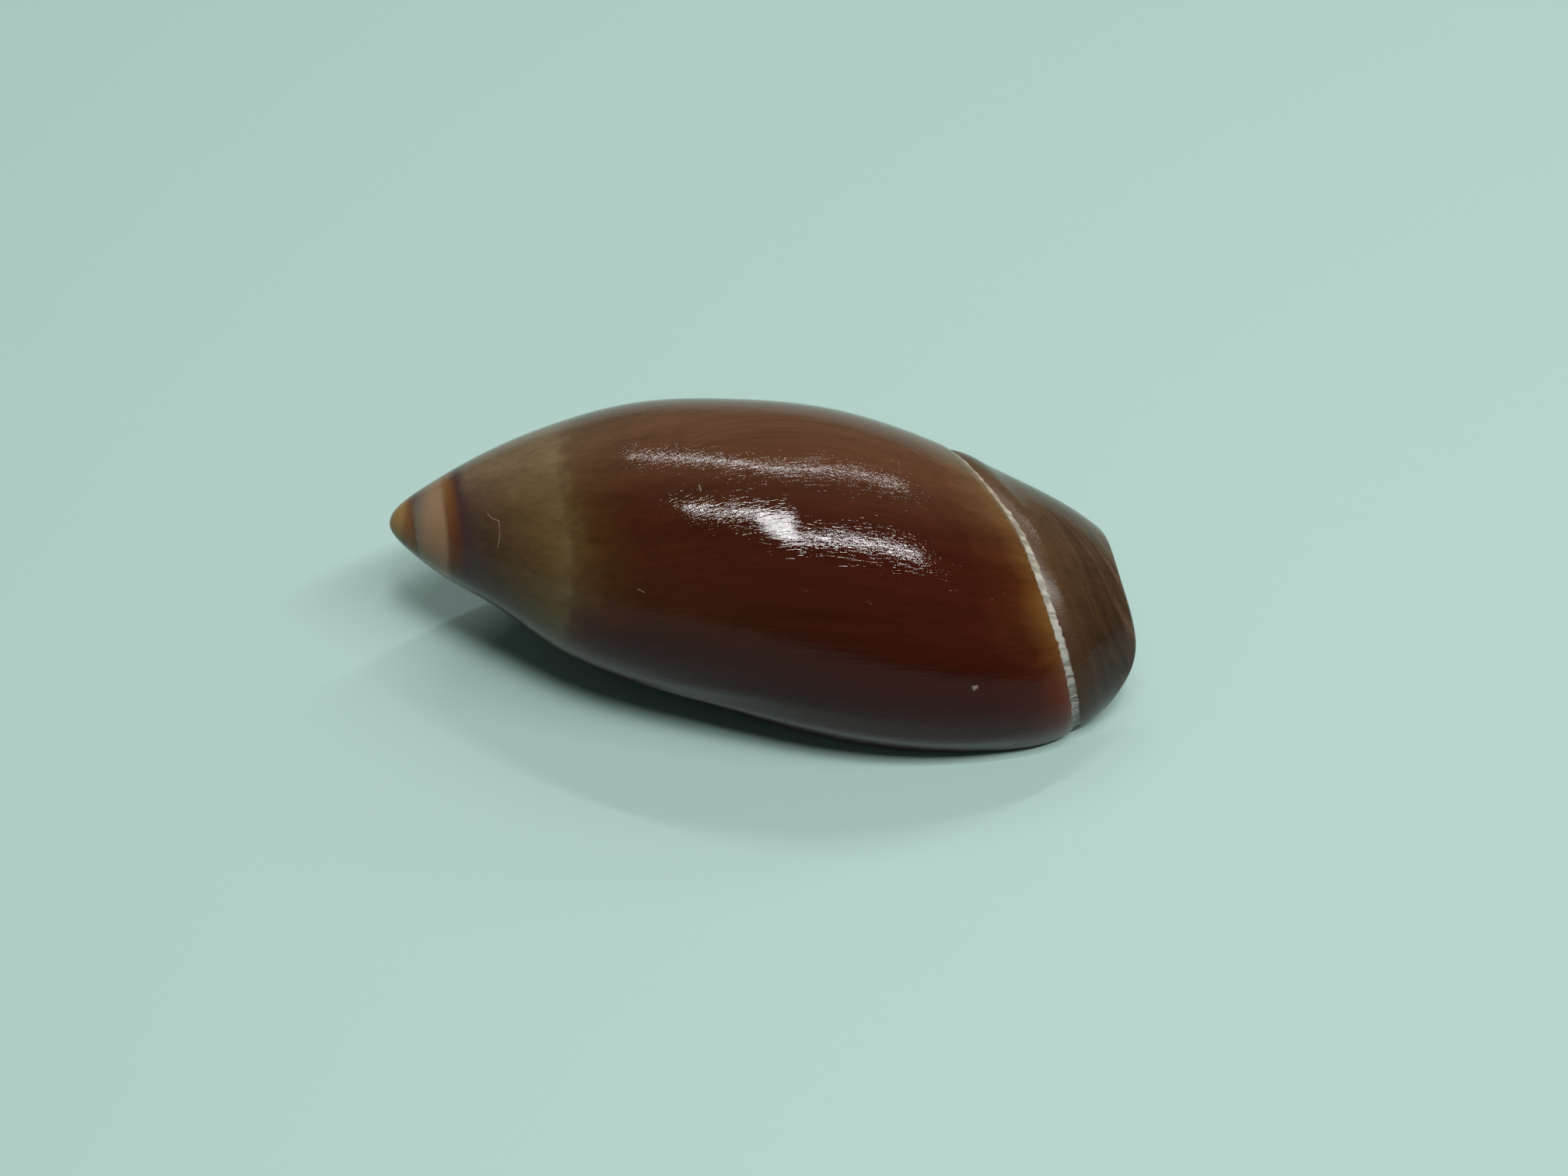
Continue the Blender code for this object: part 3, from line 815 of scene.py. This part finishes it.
# Painted shade: a darker band in front.
band = mix(tree, step(tree, turn, 0.57, 0.68), band, mix(tree, 1.0, band, BAND_FRONT_SHADE, "MULTIPLY"))
band_mask = calc(tree, "MULTIPLY", step(tree, past_groove, -0.02, 0.12), step(tree, turn, -0.04, 0.03))
colour = mix(tree, band_mask, colour, band)

shade = calc(tree, "MULTIPLY_ADD", lines.outputs["Streaks"], 1.3, 0.35)
colour = mix(tree, 1.0, colour, shade, "MULTIPLY")
print("zones done")

# %% [markdown]
# ## The spire, the aperture and the groove
# The spire's masks are laid over the glaze: pale, which starts greyish after each dark line and turns
# pinkish, then orange, then dark. The inside of the lip is deep red brown, the columella is khaki near the
# siphonal end and darker where the aperture begins, a darkening that is painted shade deep in the
# aperture, and the cut edge of the lip shows a paler layer. The groove is bare lime, whitest on top and
# greyer in front, crossed by fine dark lines that leave it looking beaded.

# %% Patterns and marks
spire_place = calc(tree, "MULTIPLY_ADD", station, 0.62, -0.68)
colour = mix(tree, pale, colour, ramp(tree, spire_place, PALE))
colour = mix(tree, orange, colour, ramp(tree, calc(tree, "MULTIPLY_ADD", station, 1.0, -2.55), ORANGE))
colour = mix(tree, calc(tree, "MULTIPLY", dark, 0.9), colour, DARK)
colour = mix(tree, calc(tree, "SUBTRACT", 1.0, step(tree, station, 0.55, 0.95)), colour, TIP)

plaits = calc(tree, "MULTIPLY_ADD", noise(tree, address, (0.2, 1, 1), 2.2, 3.0), 0.7, 0.65)
# Painted shade: the columella darkens where the aperture begins.
wall = ramp(tree, calc(tree, "MULTIPLY_ADD", station, 0.05, -0.6), COLUMELLA_WITH_PAINTED_SHADE)
colour = mix(tree, pillar, colour, mix(tree, 1.0, wall, plaits, "MULTIPLY"))
colour = mix(tree, step(tree, inner, 0.5, 1.0), colour, LINING)
colour = mix(tree, calc(tree, "MULTIPLY", rim, 0.8), colour, LIP_EDGE)

along_groove = calc(tree, "MULTIPLY", turn, 46.0)
across_groove = calc(tree, "MULTIPLY", past_groove, 0.3)
cross = node(tree, "CombineXYZ", {0: along_groove, 1: across_groove}).outputs[0]
inputs = {"Vector": cross, "Scale": 1.5, "Randomness": 1.0}
bead = node(tree, "TexVoronoi", inputs, feature="DISTANCE_TO_EDGE")
strong = noise(tree, cross, (1, 0, 0), 0.35, 2.0)
cuts = calc(tree, "SUBTRACT", 1.0, step(tree, bead.outputs[0], 0.0, 0.22))
strong = calc(tree, "MULTIPLY", step(tree, strong, 0.26, 0.60), 0.75)
cuts = calc(tree, "MULTIPLY", cuts, strong)
groove_width = calc(tree, "MULTIPLY_ADD", step(tree, turn, 0.38, 0.52), 0.10, 0.12)
wander = calc(tree, "ADD", past_groove, varied(noise(tree, address, (1, 1, 1), 2.6, 3.0), 0.15))
groove_share = calc(tree, "DIVIDE", calc(tree, "ABSOLUTE", wander), groove_width)
groove_mask = calc(tree, "SUBTRACT", 1.0, step(tree, groove_share, 0.72, 1.12))
outside_only = calc(tree, "SUBTRACT", 1.0, step(tree, inner, 0.0, 0.5))
groove_mask = calc(tree, "MULTIPLY", groove_mask, calc(tree, "MULTIPLY", groove_fade, outside_only))
bare = ramp(tree, calc(tree, "MULTIPLY_ADD", turn, 2.6, -1.1), GROOVE)
colour = mix(tree, groove_mask, colour, mix(tree, cuts, bare, GROOVE_LINE))

place = node(tree, "TexCoord").outputs["Object"]
point = node(tree, "VectorMath", {0: place, "Scale": 1 / MM}, operation="SCALE").outputs[0]
wobble = node(tree, "TexNoise", {"Vector": point, "Scale": 5.0, "Detail": 2.0}).outputs["Color"]
wobble = node(tree, "VectorMath", {0: wobble, 1: (0.5, 0.5, 0.5)}, operation="SUBTRACT").outputs[0]
wobble = node(tree, "VectorMath", {0: wobble, "Scale": 0.35}, operation="SCALE").outputs[0]
ragged = node(tree, "VectorMath", {0: point, 1: wobble}, operation="ADD").outputs[0]
marks = 0.0
for start, end, width in SCRATCHES:
    ends = {"Point": point, "Start": start, "End": end, "Width": width}
    marks = calc(tree, "MAXIMUM", marks, node(tree, "Group", ends, node_tree=one_scratch).outputs[0])
ends = {"Point": ragged, "Start": CHIP[0], "End": CHIP[1], "Width": CHIP[2]}
chip = node(tree, "Group", ends, node_tree=one_scratch).outputs[0]
marks = calc(tree, "MAXIMUM", calc(tree, "MULTIPLY", marks, 0.7), chip)
colour = mix(tree, marks, colour, SCRATCH)
tree.links.new(colour, surface.inputs["Base Color"])
print("patterns done,", len(tree.nodes), "nodes")

# %% [markdown]
# ## Gloss
# A shell's glaze throws back about as much light as glass does, a little less where it is worn. Hair
# scratches tilt its surface by a few degrees, so a highlight breaks up into short bright lines. The bare
# groove, the chip and a narrow strip beside the groove are duller than the rest.

# %% Gloss and relief
surface.inputs["Specular IOR Level"].default_value = 0.2
beside_groove = calc(tree, "SUBTRACT", 1.0, step(tree, past_groove, 0.35, 1.5))
beside_groove = calc(tree, "MULTIPLY", calc(tree, "MULTIPLY", beside_groove, band_mask), 0.75)
dull = calc(tree, "MAXIMUM", calc(tree, "MAXIMUM", groove_mask, chip), beside_groove)
worn = noise(tree, address, (0.4, 1, 1), 2.5, 4.0, 0.7)
rough = calc(tree, "MULTIPLY", worn, 0.08)
tree.links.new(calc(tree, "MULTIPLY_ADD", dull, 0.4, rough), surface.inputs["Roughness"])
bump = node(tree, "Bump", {"Height": hairs.outputs["Height"], "Strength": 0.17, "Distance": 0.00003})
inputs = {"Height": lines.outputs["Height"], "Strength": 0.14, "Distance": 0.00006, "Normal": bump.outputs[0]}
bump = node(tree, "Bump", inputs)
inputs = {"Height": calc(tree, "SUBTRACT", 1.0, cuts), "Strength": groove_mask, "Distance": 0.00008}
inputs["Normal"] = bump.outputs[0]
bump = node(tree, "Bump", inputs)
tree.links.new(bump.outputs[0], surface.inputs["Normal"])
mesh.materials.append(paint)
print(paint.name, "has", len(tree.nodes), "nodes")

# %% [markdown]
# ## The floor, the light and the camera
# The shell lies on a plain pale blue-green floor. Narrow soft boxes hang at one height, two behind it and
# three nearly above it. The first two lay one thin long highlight on the glaze, and the other three a
# second one that widens in its middle. An even pale sky fills in the rest. The camera looks down at about
# 50 degrees, turned by less than two degrees round its own line of sight.

# %% Floor
FLOOR_HALF = 3.0
FLOOR_COLOUR = (0.225, 0.320, 0.297, 1)
floor_mesh = bpy.data.meshes.new("floor")
floor_corners = [(x * FLOOR_HALF, y * FLOOR_HALF, 0) for x, y in ((-1, -1), (1, -1), (1, 1), (-1, 1))]
floor_mesh.from_pydata(floor_corners, [], [(0, 1, 2, 3)])
floor = bpy.data.objects.new("floor", floor_mesh)
bpy.context.scene.collection.objects.link(floor)
ground = bpy.data.materials.new("pale floor")
ground.use_nodes = True
ground_surface = ground.node_tree.nodes["Principled BSDF"]
ground_surface.inputs["Base Color"].default_value = FLOOR_COLOUR
ground_surface.inputs["Roughness"].default_value = 0.6
floor_mesh.materials.append(ground)
print("floor", tuple(floor.dimensions))

# %% Lights
LAMP_HEIGHT = 0.48
SKY_COLOUR = (0.80, 0.95, 0.90, 1)
SKY_STRENGTH = 0.15


def soft_box(name, first, last, width, brightness):
    """A long rectangular light that faces the shell, between two points given as seen from above. Its power
    is pi times its area times its brightness."""
    first = Vector((*first, LAMP_HEIGHT))
    last = Vector((*last, LAMP_HEIGHT))
    light = bpy.data.lights.new(name, "AREA")
    light.shape = "RECTANGLE"
    light.size = (last - first).length
    light.size_y = width
    light.energy = np.pi * light.size * width * brightness
    lamp = bpy.data.objects.new(name, light)
    bpy.context.scene.collection.objects.link(lamp)
    middle = (first + last) / 2
    side = (last - first).normalized()
    away = (middle - side * middle.dot(side)).normalized()
    turned = Matrix((side, away.cross(side), away)).transposed().to_4x4()
    turned.translation = middle
    lamp.matrix_world = turned
    return lamp


soft_box("first box behind", (-0.22, 0.345), (0.04, 0.25), 0.012, 62)
soft_box("second box behind", (0.04, 0.24), (0.52, 0.57), 0.013, 56)
soft_box("first box above", (-0.10, -0.085), (0.08, -0.05), 0.011, 125)
soft_box("short box above", (0.0, -0.12), (0.07, -0.12), 0.10, 46)
soft_box("second box above", (0.03, -0.19), (0.42, -0.01), 0.014, 125)
sky = bpy.data.worlds.new("even sky")
bpy.context.scene.world = sky
sky.use_nodes = True
sky.node_tree.nodes["Background"].inputs[0].default_value = SKY_COLOUR
sky.node_tree.nodes["Background"].inputs[1].default_value = SKY_STRENGTH

# %% Camera
ELEVATION = 50 * DEG
ROLL = 1.7 * DEG
CAMERA_PLACE = (0.00107, -0.09335, 0.11556)
FOCAL_LENGTH = 64.6
camera = bpy.data.objects.new("camera", bpy.data.cameras.new("camera"))
bpy.context.scene.collection.objects.link(camera)
side = Vector((1, 0, 0))
away = Vector((0, -np.cos(ELEVATION), np.sin(ELEVATION)))
up = away.cross(side)
right = np.cos(ROLL) * side + np.sin(ROLL) * up
upright = np.cos(ROLL) * up - np.sin(ROLL) * side
camera.matrix_world = Matrix((right, upright, away)).transposed().to_4x4()
camera.location = CAMERA_PLACE
camera.data.sensor_width = 36
camera.data.lens = FOCAL_LENGTH
camera.data.clip_start = 0.01
bpy.context.scene.camera = camera
bpy.context.scene.view_settings.view_transform = "Standard"
print("camera at", tuple(camera.location))
